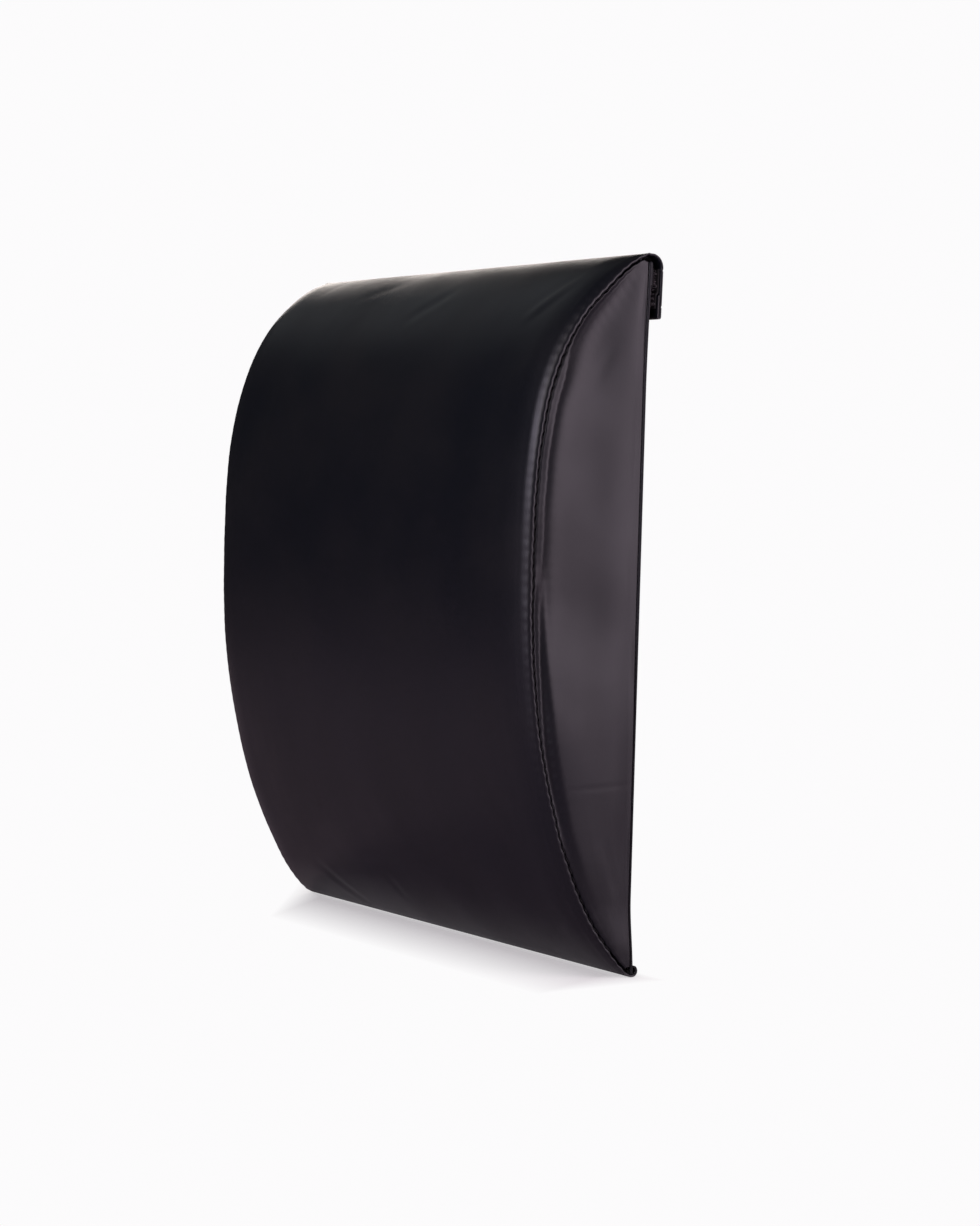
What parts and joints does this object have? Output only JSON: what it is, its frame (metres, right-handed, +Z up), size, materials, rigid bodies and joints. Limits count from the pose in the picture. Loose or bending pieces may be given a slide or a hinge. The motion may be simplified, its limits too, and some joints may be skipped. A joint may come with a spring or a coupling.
{
  "type": "ab mat",
  "caption": "Arched foam sit-up mat in a sewn black synthetic leather cover, with a flat back and a closure flap that folds behind the thick end.",
  "frame": {"origin": "under the middle of the mat's length and width, at the level of its lowest thread, which lies on the floor with the mat on its flat back", "axes": "+X across the mat, +Y along it from the rolled foot seam to the fold of the closure flap, +Z up out of the arched top"},
  "size_m": [0.313, 0.37, 0.081],
  "materials": {
    "leather": "satin black synthetic leather with a fine grain",
    "tape": "black woven hook and loop tape",
    "thread": "black bonded sewing thread",
    "foam": "matte closed-cell foam"
  },
  "bodies": {
    "cover": {"top_panel": "leather", "right_gusset": "leather", "left_gusset": "leather", "base_panel": "leather", "loop_tape": "tape", "foam_core": "foam", "right_crown_thread": "thread", "left_crown_thread": "thread", "right_base_thread": "thread", "left_base_thread": "thread", "foot_thread": "thread", "loop_tape_head_thread": "thread", "loop_tape_foot_thread": "thread"},
    "flap": {"closure_flap": "leather", "hook_tape": "tape", "hook_tape_fold_thread": "thread", "hook_tape_edge_thread": "thread"}
  },
  "joints": [
    {"name": "flap_fold", "type": "hinge", "parent": "cover", "child": "flap", "pos_m": [0, 0.185, 0.0078], "axis": [1, 0, 0], "range_deg": [0, 150]}
  ]
}
